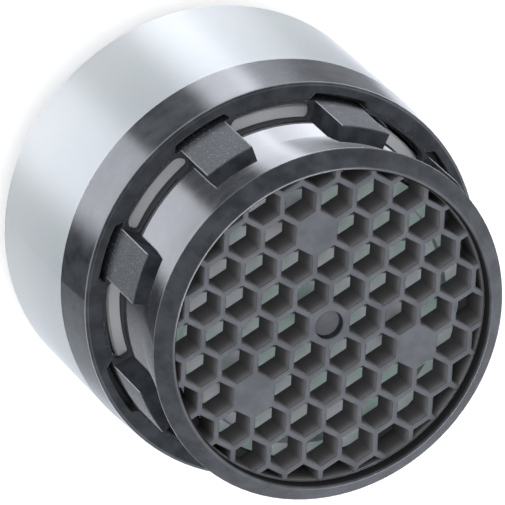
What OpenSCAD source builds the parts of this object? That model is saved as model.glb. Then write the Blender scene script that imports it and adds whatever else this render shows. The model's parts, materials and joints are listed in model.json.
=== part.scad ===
// Tap aerator cartridge, standing on its inlet washer with the outlet up.
// The axis is Z, and Z = 0 is the flat face of the washer.

/* [Inlet housing] */
// Outer diameter of the pale inlet housing
body_d = 21.5; // [21:0.1:24]
// Length of the pale inlet housing
inlet_len = 8.2; // [8:0.1:12]
// Wall of the inlet housing round the socket
socket_wall = 0.75; // [0.65:0.05:1]
// Wall of the inlet housing round the washer
seat_wall = 0.8; // [0.7:0.05:1]
// Wall of the inlet housing round the filter and the regulator
bore_wall = 2.05; // [1.9:0.05:2.3]
// Width of the ledge between the filter and the regulator
ledge_w = 0.6; // [0.4:0.05:0.8]
// Radius of the rounded outer edge at the inlet end
inlet_edge_r = 0.35; // [0.1:0.05:0.6]

/* [Outlet housing] */
// Height of the dark band between the inlet housing and the rim
band_h = 3.05; // [2.6:0.05:5]
// How much the radius of the band shrinks up to the rim
band_draft = 0.14; // [0:0.02:0.3]
// Height of the honeycomb's front over the rim
neck_h = 5.95; // [5.6:0.05:8]
// Width of the rim, from its outer edge in to the neck
rim_w = 2.11; // [2:0.01:2.2]
// Height of the neck's straight foot over the rim
neck_foot = 2.1; // [2:0.05:2.6]
// Wall of the neck's foot
neck_wall = 0.65; // [0.6:0.05:0.75]
// Angle at which the neck starts to flare over its foot
flare_slope = 9; // [4:0.5:10]
// How far the outlet ring stands out over the neck's foot
ring_overhang = 0.85; // [0.75:0.05:1]
// Width of the outlet ring at the honeycomb's front
ring_w = 1.0; // [0.9:0.05:1.1]
// Height of the outlet ring's tip over the honeycomb's front
tip_rise = 0.58; // [0.4:0.02:1]
// Radius of the rounded inner edge of that tip
tip_edge = 0.21; // [0.15:0.01:0.3]
// Thickness of the shoulder between the neck and the band
shoulder_t = 0.5; // [0.45:0.05:0.8]

/* [Honeycomb] */
// Distance between neighbouring cells
cell_pitch = 1.92; // [1.7:0.02:2.4]
// Thickness of the walls between cells
cell_wall = 0.29; // [0.24:0.01:0.4]
// Depth of the honeycomb
comb_t = 1.75; // [1.2:0.05:2.4]
// Diameter of the round recess in the middle cell
gate_d = 1.5; // [1:0.05:1.8]
// Depth of that recess
gate_depth = 0.42; // [0.2:0.02:0.8]

/* [Lugs and air windows] */
// Number of lugs round the neck, with one air window between each pair
lug_count = 8; // [6:1:9]
// Angle that one lug takes up
lug_angle = 15.8; // [12:0.2:18]
// Height of the lugs over the neck's foot
lug_rise = 1.125; // [1.1:0.025:1.2]
// Depth from the honeycomb's front to the lugs' front ends
lug_setback = 2.4; // [2:0.05:4]
// Radius of the lugs' outer corners
lug_edge = 0.1; // [0.05:0.01:0.15]
// Distance between the neck and the air windows
window_gap = 0.1; // [0.07:0.01:0.12]
// Radial width of an air window
window_w = 0.9; // [0.8:0.05:0.9]
// Width of the slot between each lug and the rim
pocket_w = 0.4; // [0.3:0.05:0.45]
// Depth of that slot
pocket_depth = 1.1; // [0.6:0.05:1.6]

/* [Snap joint between the housings] */
// Length of the skirt that enters the inlet housing
skirt_len = 1.7; // [1.6:0.05:2]
// Wall of the skirt
skirt_wall = 0.6; // [0.5:0.05:0.7]
// Height of the snap bead over the skirt
bead_rise = 0.15; // [0.1:0.01:0.2]
// Width of the snap bead
bead_w = 0.45; // [0.3:0.05:0.6]

/* [Jet splitter] */
// Thickness of the clamped flange
flange_t = 0.9; // [0.7:0.05:1.2]
// Thickness of the drilled plate
jet_plate_t = 1.3; // [1:0.05:1.8]
// Gap between the skirt and the splitter's upright wall
splitter_gap = 0.15; // [0.1:0.05:0.3]
// Thickness of the upright wall
splitter_wall_t = 0.9; // [0.7:0.05:1]
// Diameter of one jet hole
jet_d = 0.9; // [0.6:0.05:1.1]
// Number of holes in the outer jet row
jet_count = 24; // [16:1:28]
// Distance between the upright wall and the middle of the outer jet row
jet_margin = 1.7; // [1.5:0.05:2]
// Number of air slots in the upright wall
air_slots = 8; // [6:1:12]
// Width of one air slot
air_slot_w = 2.6; // [1.6:0.1:3.2]
// Depth of the air slots from the top of the wall
air_slot_h = 1.5; // [1:0.1:2.5]
// Gap between the upright wall and the neck
wall_gap = 0.15; // [0.1:0.05:0.6]

/* [Mixing grids] */
// Height of one mixing grid
grid_h = 1.8; // [1.4:0.05:2.2]
// Radial width of the grids' rims
grid_rim = 0.7; // [0.5:0.05:1]
// Depth of the bars below the rim's front face
grid_sink = 0.75; // [0.3:0.05:0.9]
// Height of the bars
bar_h = 0.75; // [0.5:0.05:0.9]
// Width of one bar
bar_w = 1.08; // [0.6:0.02:1.2]

/* [Flow regulator] */
// Wall of the regulator's rim
regulator_rim = 0.8; // [0.6:0.05:1]
// Thickness of the regulator's plate
regulator_plate = 1.0; // [0.8:0.05:1.4]
// Height from the splitter down to the regulator's plate
plenum_h = 1.0; // [0.6:0.05:1.2]
// Diameter of the regulator's core
core_d = 8.0; // [7:0.1:9]
// Number of flutes round the core
flute_count = 10; // [6:1:12]
// Diameter of one flute
flute_d = 1.1; // [0.8:0.05:1.3]
// Thickness of the rubber control ring
control_d = 1.2; // [1:0.05:1.3]

/* [Inlet filter and washer] */
// Thickness of the ledge between the filter and the regulator
ledge_t = 0.6; // [0.5:0.05:1]
// Thickness of the filter's flange
filter_flange_t = 0.8; // [0.6:0.05:1]
// Depth of the filter's cup
filter_depth = 1.6; // [1.2:0.05:1.8]
// Gap between the filter's cup and the washer
cup_gap = 0.1; // [0.1:0.05:0.3]
// How much the radius of the cup shrinks down to its face
cup_draft = 0.5; // [0.2:0.1:0.8]
// Thickness of the filter's walls
filter_t = 0.5; // [0.4:0.05:0.6]
// Distance between neighbouring filter openings
mesh_pitch = 1.1; // [1:0.05:1.6]
// Width of one filter opening
mesh_hole = 0.7; // [0.5:0.05:0.75]
// Thickness of the rubber washer
washer_t = 2.0; // [1.6:0.1:2.6]
// Height of the washer that stands out of the housing
washer_proud = 1.0; // [0.6:0.1:1.2]
// Radial width of the washer
washer_w = 2.1; // [1.9:0.1:2.3]

/* [Fits] */
// Radial clearance between pieces that slide together
fit = 0.05; // [0.03:0.01:0.08]

/* [Hidden] */
$fn = 120;

// Levels, from the washer's face up to the tip
z_housing = washer_proud;
z_washer_seat = washer_t;
z_ledge = z_washer_seat + filter_flange_t;
z_regulator = z_ledge + ledge_t;
z_seam = z_housing + inlet_len;
z_skirt = z_seam - skirt_len;
z_splitter = z_skirt - flange_t;
z_plate = z_splitter - plenum_h;
z_control = z_plate - regulator_plate;
z_rim = z_seam + band_h;
z_face = z_rim + neck_h;
z_tip = z_face + tip_rise;
z_comb = z_face - comb_t;
z_lug = z_face - lug_setback;
z_neck_end = z_rim - shoulder_t;
z_wall_top = z_neck_end - wall_gap;
z_grid_middle = z_comb - grid_h;
z_grid_end = z_grid_middle - grid_h;
z_filter = z_ledge - filter_depth - filter_t;

// Radii
body_r = body_d / 2;
rim_r = body_r - band_draft;
neck_r = rim_r - rim_w;
neck_bore_r = neck_r - neck_wall;
ring_r = neck_r + ring_overhang;
outlet_r = ring_r - ring_w;
tip_r = outlet_r + tip_edge;
lug_r = neck_r + lug_rise;
window_in_r = neck_r + window_gap;
window_out_r = window_in_r + window_w;
socket_r = body_r - socket_wall;
skirt_r = socket_r - fit;
skirt_bore_r = skirt_r - skirt_wall;
seat_r = body_r - seat_wall;
washer_r = seat_r - fit;
washer_bore_r = washer_r - washer_w;
inlet_bore_r = body_r - bore_wall;
ledge_r = inlet_bore_r - ledge_w;
cup_top_r = washer_bore_r - cup_gap;
cup_r = cup_top_r - cup_draft;
splitter_wall_r = skirt_bore_r - splitter_gap;
chamber_r = splitter_wall_r - splitter_wall_t;
jet_row_r = chamber_r - jet_margin;
core_r = core_d / 2;
grid_r = neck_bore_r - 2 * fit;

// Roundings of the moulded edges
rim_edge = 0.18;
ring_edge = 0.08;
splitter_edge = 0.1;
washer_edge = 0.15;
// Inward bead that keeps the mixing grids in the neck
stop_rise = 0.15;
stop_w = 0.3;
// Distance from the skirt's end to the middle of its snap bead
bead_up = skirt_len / 2;
// Flat that the control ring takes where it is seated
ring_flat = 0.05;
// Corner radii of an air window, at its outer and inner edge
window_corner = 0.55;
window_foot = 0.2;
// Angle between an air window's end and the lug beside it
window_web = 0.6;
// How far the windows run down the inside of the band
window_relief = 0.6;
// Width of the flat between the cells and the outlet ring
comb_edge = 0.05;
// Angles by which the slot at a lug runs past it, at its inner and outer edge
pocket_over = 2.2;
pocket_over_out = 0.4;
// Number of flats round small holes and round the control ring's section
hole_steps = 24;
ring_steps = 48;
// How far a cutting shape passes the faces that it cuts
eps = 0.01;
// How far joined shapes run into each other
lap = 0.15;

// Layout of the lugs and of the honeycomb
lug_start = 30;
lug_step = 360 / lug_count;
stud = [-2, -1];
cell_span = ceil(2 * outlet_r / cell_pitch);
// How far past the recess a cell may be centred, as a share of the pitch
cell_reach = 0.28;
cell_limit = outlet_r + cell_reach * cell_pitch;
row_pitch = cell_pitch * sin(60);
bar_rows = ceil(grid_r / row_pitch);
mesh_rows = floor(cup_r / mesh_pitch);
// Rows of jets, as shares of the outer row, and the angle between their starts
jet_rows = [1, 0.68, 0.36];
jet_turn = 90;
// Share of a window's curved sides that lies clear of its corners
slot_share = 0.88;

// Points on an arc about centre c, from angle a0 to a1 in n steps
function arc(c, r, a0, a1, n) =
    [for (i = [0:n]) let (a = a0 + (a1 - a0) * i / n) [c[0] + r * cos(a), c[1] + r * sin(a)]];

function polar(r, a) = [r * cos(a), r * sin(a)];

// Hollow curve that leaves the neck at [r0, z0] with a slope of a degrees and meets [r1, z1]
function flare(r0, z0, r1, z1, a) =
    let (h = z1 - z0, w = r1 - r0, r = (w * w + h * h) / (2 * (w * cos(a) - h * sin(a))))
    arc([r0 + r * cos(a), z0 - r * sin(a)], r, 180 - a, 180 - asin(h / r + sin(a)), 7);

// Centre of the cell in column i of row j, and the cell a third of a turn on
function cell_at(i, j) = [cell_pitch * (i + j / 2), -row_pitch * j];
function third_turn(c) = [-c[0] - c[1], c[0]];

closed_cells = [[0, 0], stud, third_turn(stud), third_turn(third_turn(stud))];
function is_closed(c) = len([for (q = closed_cells) if (q == c) q]) > 0;
open_cells = [for (i = [-cell_span:cell_span], j = [-cell_span:cell_span])
    if (norm(cell_at(i, j)) < cell_limit && !is_closed([i, j])) [i, j]];

module ring(r_out, r_in, z0, z1) {
    translate([0, 0, z0]) difference() {
        cylinder(r = r_out, h = z1 - z0);
        translate([0, 0, -eps]) cylinder(r = r_in, h = z1 - z0 + 2 * eps);
    }
}

module disc(r, z0, z1) {
    translate([0, 0, z0]) cylinder(r = r, h = z1 - z0);
}

// Copies of the children round the axis
module around(count, start = 0) {
    for (k = [0:count - 1]) rotate(start + 360 * k / count) children();
}

// Band, rim, neck, outlet ring and the plate of the honeycomb as one moulded section
module outlet_section() {
    rotate_extrude() polygon(concat(
        [[skirt_bore_r, z_skirt], [skirt_r - bead_rise, z_skirt], [skirt_r, z_skirt + 2 * bead_rise]],
        [[skirt_r, z_skirt + bead_up - bead_w], [skirt_r + bead_rise, z_skirt + bead_up - bead_w / 2],
         [skirt_r + bead_rise, z_skirt + bead_up], [skirt_r, z_skirt + bead_up + bead_w / 2]],
        [[skirt_r, z_seam], [body_r, z_seam]],
        arc([rim_r - rim_edge, z_rim - rim_edge], rim_edge, 0, 90, 4),
        [[neck_r, z_rim]],
        flare(neck_r, z_rim + neck_foot, ring_r, z_face - ring_edge, flare_slope),
        [[ring_r, z_face]],
        arc([tip_r, z_tip - tip_edge], tip_edge, 90, 180, 4),
        [[outlet_r, z_face], [0, z_face], [0, z_comb], [neck_bore_r, z_comb]],
        [[neck_bore_r, z_grid_end], [neck_bore_r - stop_rise, z_grid_end],
         [neck_bore_r, z_grid_end - stop_w]],
        [[neck_bore_r, z_neck_end], [skirt_bore_r, z_neck_end]]));
}

// Open cells of the honeycomb, which end on a narrow flat inside the outlet ring
module cells() {
    intersection() {
        disc(outlet_r - comb_edge, z_comb - lap, z_face + eps);
        for (c = open_cells) translate(concat(cell_at(c[0], c[1]), z_comb - 2 * lap))
            rotate(30) cylinder(d = (cell_pitch - cell_wall) / cos(30), h = comb_t + 3 * lap, $fn = 6);
    }
}

// Outline of a curved slot between radii r0 and r1, with corner radii e0 and e1
function slot_outline(r0, r1, half, e0, e1) =
    let (a0 = half - asin(e0 / (r0 + e0)), a1 = half - asin(e1 / (r1 - e1)))
    concat(
        arc([0, 0], r1, -slot_share * a1, slot_share * a1, 10),
        arc(polar(r1 - e1, a1), e1, a1, a1 + 90, 5),
        arc(polar(r0 + e0, a0), e0, a0 + 90, a0 + 180, 3),
        arc([0, 0], r0, slot_share * a0, -slot_share * a0, 10),
        arc(polar(r0 + e0, -a0), e0, 180 - a0, 270 - a0, 3),
        arc(polar(r1 - e1, -a1), e1, 270 - a1, 360 - a1, 5));

// Plan of a block that spans an angle, with its two outer corners rounded
function wedge(r, half, edge) =
    let (corner = half - asin(edge / (r - edge)),
         outer = arc(polar(r - edge, corner), edge, corner, corner + 90, 3))
    concat([[0, 0]], [for (i = [3:-1:0]) [outer[i][0], -outer[i][1]]], outer);

// Block of one lug, before its outer face is cut
module lug_block() {
    intersection() {
        ring(lug_r + lap, neck_r - lap, z_rim - shoulder_t / 2, z_lug);
        translate([0, 0, z_neck_end]) linear_extrude(z_face - z_neck_end)
            polygon(wedge(lug_r + 2 * lug_edge, lug_angle / 2, 2 * lug_edge));
    }
}

// Cut that leaves a lug's round outer face and the slot between it and the rim
module lug_cut() {
    inner = lug_angle / 2 + pocket_over;
    outer = inner + 2 * (pocket_over_out - pocket_over);
    intersection() {
        rotate_extrude() polygon(concat(
            [[lug_r, z_rim - pocket_depth]],
            arc([lug_r - lug_edge, z_lug - lug_edge], lug_edge, 0, 90, 3),
            [[lug_r - lug_edge, z_face], [lug_r + pocket_w, z_face],
             [lug_r + pocket_w, z_rim - pocket_depth]]));
        translate([0, 0, z_neck_end - pocket_depth]) linear_extrude(z_lug + eps - z_neck_end + pocket_depth)
            polygon([[0, 0], polar(lug_r, -inner), polar(lug_r + 2 * pocket_w, -outer),
                     polar(lug_r + 2 * pocket_w, outer), polar(lug_r, inner)]);
    }
}

module air_window() {
    half = lug_step / 2 - lug_angle / 2 - window_web;
    translate([0, 0, z_neck_end - window_relief]) linear_extrude(shoulder_t + window_relief + lap)
        polygon(slot_outline(window_in_r, window_out_r, half, window_foot, window_corner));
}

module outlet_housing() {
    color([0.26, 0.27, 0.29]) difference() {
        union() {
            outlet_section();
            around(lug_count, lug_start) lug_block();
        }
        cells();
        disc(gate_d / 2, z_face - gate_depth, z_face + lap);
        around(lug_count, lug_start + lug_step / 2) air_window();
        around(lug_count, lug_start) lug_cut();
    }
}

// Pale housing: stepped bore for the washer, the filter, the regulator and the skirt
module inlet_housing() {
    bead_top = z_skirt + bead_up + bead_w / 2 + fit;
    bead_foot = z_skirt + bead_up - bead_w - fit;
    groove_r = skirt_r + bead_rise + fit;
    color([0.84, 0.88, 0.89]) rotate_extrude() polygon(concat(
        [[seat_r, z_housing]],
        arc([body_r - inlet_edge_r, z_housing + inlet_edge_r], inlet_edge_r, -90, 0, 5),
        [[body_r, z_seam], [socket_r, z_seam]],
        [[socket_r, bead_top], [groove_r, bead_top], [groove_r, bead_foot], [socket_r, bead_foot]],
        [[socket_r, z_splitter], [inlet_bore_r, z_splitter]],
        [[inlet_bore_r, z_regulator], [ledge_r, z_regulator], [ledge_r, z_ledge]],
        [[inlet_bore_r, z_ledge], [inlet_bore_r, z_washer_seat], [seat_r, z_washer_seat]]));
}

// Grid of parallel bars in a rim
module mixing_grid(z0) {
    bar_top = z0 + grid_h - grid_sink;
    color([0.80, 0.84, 0.83]) {
        ring(grid_r, grid_r - grid_rim, z0, z0 + grid_h);
        intersection() {
            disc(grid_r - grid_rim / 2, z0, z0 + grid_h);
            for (k = [-bar_rows:bar_rows - 1])
                translate([-grid_r, (k + 0.5) * row_pitch - bar_w / 2, bar_top - bar_h])
                    cube([2 * grid_r, bar_w, bar_h]);
        }
    }
}

module mixing_grid_front() {
    mixing_grid(z_grid_middle);
}

module mixing_grid_rear() {
    rotate(90) mixing_grid(z_grid_end);
}

// Drilled plate with a clamped flange and an upright wall that lets air in
module jet_splitter() {
    color([0.86, 0.89, 0.89]) difference() {
        rotate_extrude() polygon([
            [0, z_splitter], [socket_r - fit, z_splitter], [socket_r - fit, z_skirt],
            [splitter_wall_r, z_skirt], [splitter_wall_r, z_wall_top - splitter_edge],
            [splitter_wall_r - splitter_edge, z_wall_top], [chamber_r, z_wall_top],
            [chamber_r, z_splitter + jet_plate_t], [0, z_splitter + jet_plate_t]]);
        for (row = jet_rows)
            around(round(jet_count * row), jet_turn * row)
                translate([jet_row_r * row, 0, z_splitter - eps])
                cylinder(d = jet_d, h = jet_plate_t + 2 * eps, $fn = hole_steps);
        around(air_slots, lug_start)
            translate([chamber_r - lap, -air_slot_w / 2, z_wall_top - air_slot_h])
            cube([splitter_wall_t + 2 * lap, air_slot_w, air_slot_h + eps]);
    }
}

// Fluted core on a plate, with a rim that keeps its distance from the splitter
module regulator_body() {
    color([0.88, 0.88, 0.84]) difference() {
        union() {
            ring(inlet_bore_r - fit, inlet_bore_r - fit - regulator_rim, z_regulator, z_splitter);
            disc(inlet_bore_r - fit - regulator_rim / 2, z_control, z_plate);
            disc(core_r, z_control - control_d, z_plate);
        }
        around(flute_count) translate([core_r, 0, z_control - control_d - eps])
            cylinder(d = flute_d, h = z_plate - z_control + control_d + 2 * eps, $fn = hole_steps);
    }
}

// Rubber ring round the core, pressed a little flat on the plate
module regulator_ring() {
    middle = z_control - control_d / 2 + ring_flat;
    color([0.15, 0.15, 0.16]) intersection() {
        translate([0, 0, middle]) rotate_extrude()
            translate([core_r + fit + control_d / 2, 0]) circle(d = control_d, $fn = ring_steps);
        disc(body_r, z_control - 2 * control_d, z_control);
    }
}

// Flanged cup with a square mesh in its face
module inlet_filter() {
    flange_r = inlet_bore_r - fit;
    color([0.86, 0.87, 0.86]) difference() {
        rotate_extrude() polygon([
            [0, z_filter], [cup_r, z_filter], [cup_top_r, z_washer_seat],
            [flange_r, z_washer_seat], [flange_r, z_ledge],
            [cup_top_r - filter_t, z_ledge], [cup_r - filter_t, z_filter + filter_t],
            [0, z_filter + filter_t]]);
        for (i = [-mesh_rows:mesh_rows], j = [-mesh_rows:mesh_rows])
            if (norm([i, j]) * mesh_pitch + mesh_hole < cup_r - filter_t)
                translate([i * mesh_pitch - mesh_hole / 2, j * mesh_pitch - mesh_hole / 2, z_filter - eps])
                    cube([mesh_hole, mesh_hole, filter_t + 2 * eps]);
    }
}

// Flat rubber washer with slightly broken edges
module inlet_washer() {
    color([0.12, 0.12, 0.13]) rotate_extrude() polygon([
        [washer_bore_r + washer_edge, 0], [washer_r - washer_edge, 0], [washer_r, washer_edge],
        [washer_r, washer_t], [washer_bore_r, washer_t], [washer_bore_r, washer_edge]]);
}

outlet_housing();
inlet_housing();
mixing_grid_front();
mixing_grid_rear();
jet_splitter();
regulator_body();
regulator_ring();
inlet_filter();
inlet_washer();
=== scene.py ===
"""Tap aerator cartridge: materials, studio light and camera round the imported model."""

import json
import math

import bpy
from mathutils import Matrix, Vector


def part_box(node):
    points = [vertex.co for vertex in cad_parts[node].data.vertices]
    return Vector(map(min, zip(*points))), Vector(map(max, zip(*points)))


bpy.context.scene.view_settings.view_transform = "Standard"
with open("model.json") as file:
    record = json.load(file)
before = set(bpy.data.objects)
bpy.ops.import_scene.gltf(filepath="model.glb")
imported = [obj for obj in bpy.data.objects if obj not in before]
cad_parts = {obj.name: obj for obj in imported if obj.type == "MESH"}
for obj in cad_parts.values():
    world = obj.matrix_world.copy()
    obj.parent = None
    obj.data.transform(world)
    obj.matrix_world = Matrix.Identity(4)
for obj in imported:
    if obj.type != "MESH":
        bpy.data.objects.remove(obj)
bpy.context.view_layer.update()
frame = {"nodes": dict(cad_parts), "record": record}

MM = 0.001

# Levels and radii of the model, in mm
MOUNTS = {m["name"]: m for m in frame["record"]["mounts"]}
Z_RIM = MOUNTS["rim_seat"]["pos_m"][2] / MM
Z_LUG = MOUNTS["key_lugs"]["pos_m"][2] / MM
TIP_RISE = 0.58
Z_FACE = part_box("outlet_housing")[1].z / MM - TIP_RISE
R_GATE = 0.75
R_NECK = 8.5
R_COMB = 8.35
R_LUG = 9.625
# Height of the neck's straight foot, and the lean that the shading gives it
NECK_FOOT = 2.1
NECK_LEAN = 0.11
# Radius of the moulded edges
EDGE_RADIUS = 0.10

# Camera round the middle of the honeycomb's front, in degrees and metres
CAMERA_AZIMUTH = 44.96
CAMERA_ELEVATION = 58.44
CAMERA_ROLL = 133.63
CAMERA_DISTANCE = 403.2 * MM
CAMERA_RIGHT = -3.787 * MM
CAMERA_UP = 3.588 * MM
CAMERA_LENS = 581.8
CAMERA_SENSOR = 36.0

# Light: world, floor and lamps
AMBIENT = 0.80
FLOOR_ALBEDO = 0.86
FLOOR_GLOW = 0.45
GREY = 0.50
SKY_GLOW = 2.0
EDGE_STRIP = 4.0
# Light behind, for the ring's inner edge: its span in height of the mirror's normal, and brightness
BACK_STRIPS = ((0.45, 0.55, 0.68, 0.72, 2.5), (0.87, 0.91, 0.96, 0.98, 6.0))
# Soft boxes and dark cards that upright walls mirror: start, full, fade and end in degrees, and brightness
SOFT_BOXES = ((-150.0, -140.0, -126.0, -118.0, 1.3),
              (-98.0, -84.0, -80.0, -74.0, 2.0),
              (-84.0, -77.0, -70.0, -63.0, 5.4),
              (-64.0, -60.0, -48.0, -45.5, 0.35),
              (-46.5, -43.0, -24.0, -13.0, 4.3),
              (-22.0, -13.0, -4.0, 4.0, -0.05),
              (2.0, 12.0, 24.0, 34.0, 0.65),
              (24.0, 36.0, 60.0, 70.0, 0.9))


def direction(azimuth, elevation):
    """Unit vector at an angle round the axis from +X, and an angle above the floor."""
    a, e = math.radians(azimuth), math.radians(elevation)
    return Vector((math.cos(a) * math.cos(e), math.sin(a) * math.cos(e), math.sin(e)))


def make_camera():
    a, e, roll = (math.radians(x) for x in (CAMERA_AZIMUTH, CAMERA_ELEVATION, CAMERA_ROLL))
    level = Vector((math.cos(a), math.sin(a), 0))
    upright = Vector((-math.sin(a) * math.sin(e), math.cos(a) * math.sin(e), math.cos(e)))
    back = level.cross(upright)
    right = math.cos(roll) * level + math.sin(roll) * upright
    up = back.cross(right)
    place = Vector((0, 0, Z_FACE * MM)) + CAMERA_DISTANCE * back + CAMERA_RIGHT * right + CAMERA_UP * up
    data = bpy.data.cameras.new("camera")
    data.lens, data.sensor_width = CAMERA_LENS, CAMERA_SENSOR
    data.clip_start, data.clip_end = 0.01, 10
    camera = bpy.data.objects.new("camera", data)
    bpy.context.scene.collection.objects.link(camera)
    camera.matrix_world = Matrix.Translation(place) @ Matrix((right, up, back)).transposed().to_4x4()
    bpy.context.scene.camera = camera


class Nodes:
    """A node tree, with a short call for each kind of node that the looks need."""

    def __init__(self, tree):
        self.tree = tree

    def add(self, kind, inputs=(), **settings):
        node = self.tree.nodes.new(kind)
        for name, value in settings.items():
            setattr(node, name, value)
        for key, value in dict(inputs).items():
            self.put(node.inputs[key], value)
        return node

    def put(self, socket, value):
        if isinstance(value, bpy.types.NodeSocket):
            self.tree.links.new(value, socket)
        else:
            socket.default_value = value

    def math(self, operation, a, b=0.0):
        return self.add("ShaderNodeMath", {0: a, 1: b}, operation=operation).outputs[0]

    def dot(self, a, b):
        return self.add("ShaderNodeVectorMath", {0: a, 1: b}, operation="DOT_PRODUCT").outputs["Value"]

    def step(self, value, low, high, start=0.0, end=1.0):
        """Smooth change from start to end while value goes from low to high."""
        inputs = {"Value": value, "From Min": low, "From Max": high, "To Min": start, "To Max": end}
        node = self.add("ShaderNodeMapRange", inputs, interpolation_type="SMOOTHSTEP")
        return node.outputs[0]

    def noise(self, place, scale, detail=3.0, roughness=0.55):
        inputs = {"Vector": place, "Scale": scale, "Detail": detail, "Roughness": roughness}
        return self.add("ShaderNodeTexNoise", inputs).outputs[0]

    def blend(self, factor, a, b):
        node = self.add("ShaderNodeMix", data_type="RGBA")
        self.put(node.inputs["Factor"], factor)
        for name, value in (("A", a), ("B", b)):
            socket = [s for s in node.inputs if s.name == name and s.type == "RGBA"][0]
            self.put(socket, value if isinstance(value, bpy.types.NodeSocket) else (*value, 1.0))
        return [s for s in node.outputs if s.type == "RGBA"][0]


class Finish(Nodes):
    """A material in object coordinates, with the distance from the axis and the height as sockets."""

    def __init__(self, name, node):
        self.material = bpy.data.materials.new(name)
        self.material.use_nodes = True
        super().__init__(self.material.node_tree)
        self.shader = self.tree.nodes["Principled BSDF"]
        self.place = self.add("ShaderNodeTexCoord").outputs["Object"]
        self.flat = self.add("ShaderNodeVectorMath", {0: self.place, 1: (1, 1, 0)}, operation="MULTIPLY").outputs[0]
        self.radius = self.add("ShaderNodeVectorMath", {0: self.flat}, operation="LENGTH").outputs["Value"]
        self.height = self.add("ShaderNodeSeparateXYZ", {0: self.place}).outputs["Z"]
        self.normal = None
        mesh = frame["nodes"][node].data
        mesh.materials.clear()
        mesh.materials.append(self.material)

    def set(self, **values):
        for name, value in values.items():
            if isinstance(value, tuple) and len(value) == 3:
                value = (*value, 1.0)
            self.put(self.shader.inputs[name.replace("_", " ")], value)

    def zone(self, radii, heights):
        """1 between those radii and heights, in mm, and 0 outside."""
        soft = 0.015 * MM
        inside = 1.0
        for value, (low, high) in ((self.radius, radii), (self.height, heights)):
            if low:
                inside = self.math("MULTIPLY", inside, self.step(value, low * MM - soft, low * MM + soft))
            inside = self.math("MULTIPLY", inside, self.step(value, high * MM + soft, high * MM - soft))
        return inside

    def bump(self, height, distance, strength=1.0):
        """Adds a bump of that height, in metres, on top of the bumps before it."""
        node = self.add("ShaderNodeBump", {"Height": height, "Strength": strength, "Distance": distance})
        if self.normal is not None:
            self.put(node.inputs["Normal"], self.normal)
        self.normal = node.outputs[0]
        self.put(self.shader.inputs["Normal"], self.normal)


def tone(red, green, blue):
    """A screen colour from 0 to 255 as a linear one."""
    return tuple(c / 12.92 if c <= 0.04045 else ((c + 0.055) / 1.055) ** 2.4
                 for c in (red / 255, green / 255, blue / 255))


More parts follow.
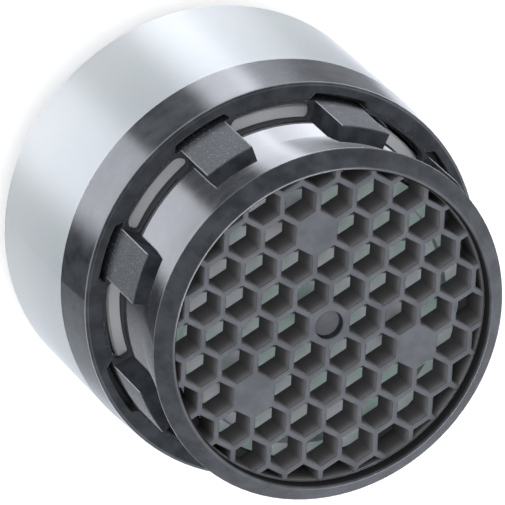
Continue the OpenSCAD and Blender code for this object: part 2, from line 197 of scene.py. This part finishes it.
def finish_outlet_housing():
    m = Finish("outlet_plastic", "outlet_housing")
    geometry = m.add("ShaderNodeNewGeometry").outputs
    face = geometry["Normal"]
    rounded = m.add("ShaderNodeBevel", {"Radius": EDGE_RADIUS * MM}, samples=8).outputs[0]
    edge = m.step(m.dot(rounded, face), 0.998, 0.93)
    cells = m.zone((R_GATE + 0.02, R_COMB + 0.03), (0, Z_FACE - 0.04))
    gate_wall = m.zone((R_GATE - 0.05, R_GATE + 0.05), (0, Z_FACE - 0.03))
    comb = m.zone((0, R_COMB), (Z_FACE - 0.03, Z_FACE + 0.03))
    ring_wall = m.zone((R_COMB - 0.35, R_COMB + 0.12), (Z_FACE + 0.03, Z_FACE + TIP_RISE - 0.05))
    hollows = m.zone((0, 10.3), (0, Z_RIM - 0.03))
    rim_face = m.zone((0, 10.43), (Z_RIM - 0.05, Z_RIM + 0.22))
    outward = m.add("ShaderNodeVectorMath", {0: m.flat}, operation="NORMALIZE").outputs[0]
    lug_sides = m.math("MULTIPLY", m.zone((0, R_LUG - 0.03), (Z_RIM, Z_LUG + 0.1)),
                       m.step(m.dot(face, outward), 0.7, 0.4))
    lug = m.zone((R_LUG - 0.04, R_LUG + 0.08), (Z_RIM - 1.2, Z_LUG - 0.02))
    lug_foot = m.math("MULTIPLY", lug, m.step(m.height, (Z_RIM + 1.3) * MM, (Z_RIM - 0.1) * MM))
    upright = m.step(m.math("ABSOLUTE", m.add("ShaderNodeSeparateXYZ", {0: rounded}).outputs["Z"]), 0.3, 0.1)
    # Mask of the lugs' upright edges, where a highlight is painted.
    lug_edge_highlight = m.math("MULTIPLY", m.math("MULTIPLY", lug, edge), upright)
    comb_edge = m.math("MULTIPLY", comb, edge)
    neck = m.math("MULTIPLY", m.zone((R_NECK - 0.2, R_NECK + 0.95), (Z_RIM, Z_FACE + 1)),
                  m.step(m.dot(geometry["True Normal"], outward), 0.6, 0.7))
    dull = cells
    for part in (gate_wall, ring_wall, hollows, m.math("MULTIPLY", rim_face, 0.85), lug_sides,
                 m.math("MULTIPLY", lug, 0.45), m.math("MULTIPLY", lug_foot, 0.9),
                 m.math("MULTIPLY", comb_edge, 0.85), m.math("MULTIPLY", lug_edge_highlight, 0.7)):
        dull = m.math("MAXIMUM", dull, part)
    cloud = m.noise(m.place, 900, 3)
    spots = m.step(m.noise(m.place, 8000, 3, 0.6), 0.55, 0.72)
    colour = m.blend(m.step(cloud, 0.3, 0.7), tone(50, 53, 57), tone(72, 75, 81))
    # Painted light: the hollows below the rim get a lighter grey than the housing, for the brightness they show.
    colour = m.blend(hollows, colour, tone(92, 92, 96))
    # Painted shade: the ring's inner wall is given a darker grey.
    colour = m.blend(ring_wall, colour, tone(40, 40, 41))
    # Painted light: the cells' walls get a much lighter grey than the housing, growing lighter towards the front
    # edge.
    colour = m.blend(cells, colour, m.blend(m.step(m.height, (Z_FACE - 0.7) * MM, Z_FACE * MM),
                                            tone(112, 111, 113), tone(138, 138, 141)))
    # Painted reflection: the comb's face gets a lighter grey for its sheen, with cloudy patches as highlights.
    colour = m.blend(comb, colour, m.blend(m.step(cloud, 0.3, 0.7), tone(68, 71, 76), tone(86, 89, 95)))
    # Painted reflection: the comb's rounded edges get a set lighter grey in place of what they would mirror.
    colour = m.blend(comb_edge, colour, tone(84, 85, 88))
    colour = m.blend(lug, colour, m.blend(spots, tone(58, 61, 65), tone(120, 124, 130)))
    # Painted highlight: near-white lines on the lugs' upright edges.
    colour = m.blend(lug_edge_highlight, colour, tone(205, 208, 214))
    grained = m.math("MULTIPLY", lug, m.math("SUBTRACT", 1.0, edge))
    rough = m.math("ADD", 0.13, m.math("MULTIPLY", cloud, 0.06))
    rough = m.math("MAXIMUM", rough, m.math("MULTIPLY", grained, 0.30))
    m.set(Base_Color=colour, Roughness=rough, IOR=1.52)
    m.normal = rounded
    m.bump(m.math("MULTIPLY", m.noise(m.place, 7500, 4, 0.7), grained), 0.12 * MM)
    foot = m.math("SUBTRACT", m.math("MINIMUM", m.height, (Z_RIM + NECK_FOOT) * MM), Z_RIM * MM)
    m.bump(m.math("MULTIPLY", foot, neck), NECK_LEAN)
    m.bump(m.noise(m.place, 2600, 3), 0.0015 * MM)
    matt = m.add("ShaderNodeBsdfDiffuse", {"Color": colour, "Normal": rounded})
    both = m.add("ShaderNodeMixShader", {0: dull, 1: m.shader.outputs[0], 2: matt.outputs[0]})
    m.put(m.tree.nodes["Material Output"].inputs["Surface"], both.outputs[0])


def finish_inlet_housing():
    m = Finish("inlet_plastic", "inlet_housing")
    cloud = m.noise(m.place, 260, 3)
    fine = m.noise(m.place, 9000, 3, 0.6)
    # Painted light and shade: the housing is lighter near the floor and darker higher up.
    colour = m.blend(m.step(m.height, 1.0 * MM, 9.0 * MM), tone(211, 217, 220), tone(191, 198, 203))
    colour = m.blend(m.math("MULTIPLY", cloud, 0.15), colour, tone(228, 234, 238))
    rough = m.math("ADD", 0.26, m.math("MULTIPLY", fine, 0.06))
    m.set(Base_Color=colour, Roughness=rough, IOR=1.42, Subsurface_Weight=0.25, Subsurface_Scale=1.2 * MM)
    m.bump(fine, 0.0005 * MM)
    m.bump(cloud, 0.006 * MM)


def finish_natural_plastic(node, low, high, roughness, matt_sides=False):
    """Satin natural plastic, a little cloudy, with a fine moulded grain; its upright walls can be matt."""
    m = Finish(node, node)
    cloud = m.step(m.noise(m.place, 420, 3), 0.35, 0.65)
    fine = m.noise(m.place, 3600, 3, 0.6)
    colour = m.blend(cloud, low, high)
    m.set(Base_Color=colour, IOR=1.5, Subsurface_Weight=0.15, Subsurface_Scale=0.8 * MM,
          Roughness=m.math("ADD", roughness, m.math("MULTIPLY", fine, 0.15)))
    m.bump(fine, 0.004 * MM)
    if matt_sides:
        up = m.add("ShaderNodeSeparateXYZ", {0: m.add("ShaderNodeNewGeometry").outputs["Normal"]}).outputs["Z"]
        matt = m.add("ShaderNodeBsdfDiffuse", {"Color": colour})
        both = m.add("ShaderNodeMixShader", {0: m.step(up, 0.9, 0.98), 1: matt.outputs[0], 2: m.shader.outputs[0]})
        m.put(m.tree.nodes["Material Output"].inputs["Surface"], both.outputs[0])


def finish_rubber(node, low, high):
    """Matt black rubber with a dusty bloom and a fine pitted skin."""
    m = Finish(node, node)
    bloom = m.step(m.noise(m.place, 700, 4), 0.35, 0.75)
    pits = m.noise(m.place, 5200, 4, 0.7)
    m.set(Base_Color=m.blend(bloom, low, high), IOR=1.5,
          Roughness=m.math("ADD", 0.55, m.math("MULTIPLY", pits, 0.25)))
    m.bump(pits, 0.01 * MM)


def make_world():
    """Even light for everything, and a studio of soft boxes and dark cards for what shines."""
    world = bpy.data.worlds.new("studio")
    world.use_nodes = True
    world.cycles.sampling_method = "NONE"
    bpy.context.scene.world = world
    n = Nodes(world.node_tree)
    n.tree.nodes.clear()
    path = n.add("ShaderNodeLightPath").outputs
    seen = n.math("MAXIMUM", path["Is Camera Ray"], path["Is Transmission Ray"])
    ray = n.add("ShaderNodeTexCoord").outputs["Generated"]
    back = direction(CAMERA_AZIMUTH - 90, CAMERA_ELEVATION)
    halfway = n.add("ShaderNodeVectorMath", {0: ray, 1: tuple(back)}, operation="ADD").outputs[0]
    facing = n.add("ShaderNodeVectorMath", {0: halfway}, operation="NORMALIZE").outputs[0]
    part = n.add("ShaderNodeSeparateXYZ", {0: facing}).outputs
    azimuth = n.math("MULTIPLY", n.math("ARCTAN2", part["Y"], part["X"]), 180 / math.pi)
    walls = n.math("MULTIPLY", n.step(part["Z"], 0.55, 0.35), n.step(part["Z"], -0.7, -0.5))
    light = n.step(n.dot(ray, tuple(direction(135, 45))), 0.42, 0.88, GREY, SKY_GLOW)
    light = n.math("MULTIPLY", light, n.step(n.dot(ray, tuple(back)), 0.3, 0.9, 1.0, 0.25))
    for start, full, fade, end, radiance in SOFT_BOXES:
        patch = n.math("MULTIPLY", n.step(azimuth, start, full), n.step(azimuth, end, fade))
        light = n.math("ADD", light, n.math("MULTIPLY", n.math("MULTIPLY", patch, walls), radiance - GREY))
    low = n.math("MULTIPLY", n.step(part["Z"], -0.01, -0.08), n.step(part["Z"], -0.21, -0.12))
    low = n.math("MULTIPLY", low, n.math("MULTIPLY", n.step(azimuth, -104.0, -96.0), n.step(azimuth, -71.0, -74.0)))
    light = n.math("MAXIMUM", light, n.math("MULTIPLY", low, 4.4))
    light = n.math("MULTIPLY", light, n.step(part["Z"], -0.32, 0.0, 0.28, 1.0))
    strip = n.math("MULTIPLY", n.step(part["Z"], 0.15, 0.30), n.step(part["Z"], 0.62, 0.45))
    light = n.math("ADD", n.math("MAXIMUM", light, 0.02), n.math("MULTIPLY", strip, EDGE_STRIP))
    far = n.math("MULTIPLY", n.step(azimuth, 75.0, 100.0), n.step(azimuth, 180.0, 165.0))
    for start, full, fade, end, radiance in BACK_STRIPS:
        patch = n.math("MULTIPLY", n.step(part["Z"], start, full), n.step(part["Z"], end, fade))
        light = n.math("ADD", light, n.math("MULTIPLY", n.math("MULTIPLY", patch, far), radiance))
    soft = n.add("ShaderNodeBackground", {"Color": (1.0, 1.0, 1.0, 1.0), "Strength": AMBIENT})
    shiny = n.add("ShaderNodeBackground", {"Color": (0.96, 0.99, 1.08, 1.0), "Strength": light})
    white = n.add("ShaderNodeBackground", {"Color": (1.0, 1.0, 1.0, 1.0), "Strength": 1.0})
    both = n.add("ShaderNodeMixShader", {0: path["Is Glossy Ray"], 1: soft.outputs[0], 2: shiny.outputs[0]})
    every = n.add("ShaderNodeMixShader", {0: seen, 1: both.outputs[0], 2: white.outputs[0]})
    n.add("ShaderNodeOutputWorld", {"Surface": every.outputs[0]})


def flat_mesh(name, points, faces):
    mesh = bpy.data.meshes.new(name)
    mesh.from_pydata(points, [], faces)
    thing = bpy.data.objects.new(name, mesh)
    bpy.context.scene.collection.objects.link(thing)
    return thing


def make_floor():
    """Pale floor that keeps the shadow, lifted to white for the camera; what shines mirrors the studio instead."""
    half, z = 1.5, -0.02 * MM
    floor = flat_mesh("floor", [(-half, -half, z), (half, -half, z), (half, half, z), (-half, half, z)],
                      [(0, 1, 2, 3)])
    material = bpy.data.materials.new("pale_floor")
    material.use_nodes = True
    n = Nodes(material.node_tree)
    n.tree.nodes.clear()
    path = n.add("ShaderNodeLightPath").outputs
    seen = n.math("MAXIMUM", path["Is Camera Ray"], path["Is Transmission Ray"])
    paper = n.add("ShaderNodeBsdfDiffuse", {"Color": (FLOOR_ALBEDO, FLOOR_ALBEDO, FLOOR_ALBEDO, 1.0)})
    glow = n.add("ShaderNodeEmission", {"Strength": n.math("MULTIPLY", seen, FLOOR_GLOW)})
    both = n.add("ShaderNodeAddShader", {0: paper.outputs[0], 1: glow.outputs[0]})
    clear = n.add("ShaderNodeBsdfTransparent")
    every = n.add("ShaderNodeMixShader", {0: path["Is Glossy Ray"], 1: both.outputs[0], 2: clear.outputs[0]})
    n.add("ShaderNodeOutputMaterial", {"Surface": every.outputs[0]})
    floor.data.materials.append(material)


def make_lamp(name, azimuth, elevation, distance, width, height, radiance):
    """Rectangular lamp that faces the axis at the rim's height, with its strength given as brightness."""
    data = bpy.data.lights.new(name, "AREA")
    data.shape = "RECTANGLE"
    data.size, data.size_y = width, height
    data.energy = radiance * math.pi * width * height
    lamp = bpy.data.objects.new(name, data)
    bpy.context.scene.collection.objects.link(lamp)
    away = direction(azimuth, elevation)
    lamp.matrix_world = Matrix.Translation(Vector((0, 0, Z_RIM * MM)) + distance * away) @ \
        away.to_track_quat("Z", "Y").to_matrix().to_4x4()
    lamp.visible_camera = lamp.visible_glossy = False


def make_lamps():
    make_lamp("key", 135, 58, 0.50, 0.60, 0.60, 0.8)
    make_lamp("fill", -45, 40, 0.35, 0.30, 0.30, 0.3)


for node in frame["nodes"].values():
    node.visible_glossy = False
make_camera()
make_world()
make_floor()
make_lamps()
finish_outlet_housing()
finish_inlet_housing()
for grid in ("mixing_grid_front", "mixing_grid_rear"):
    finish_natural_plastic(grid, tone(200, 226, 216), tone(238, 238, 243), 0.45, True)
finish_natural_plastic("jet_splitter", tone(222, 223, 225), tone(230, 231, 232), 0.32, True)
finish_natural_plastic("regulator_body", tone(222, 222, 214), tone(233, 232, 225), 0.35)
finish_natural_plastic("inlet_filter", tone(218, 220, 218), tone(230, 231, 229), 0.35)
finish_rubber("regulator_ring", tone(34, 34, 36), tone(52, 52, 54))
finish_rubber("inlet_washer", tone(32, 32, 34), tone(54, 54, 56))
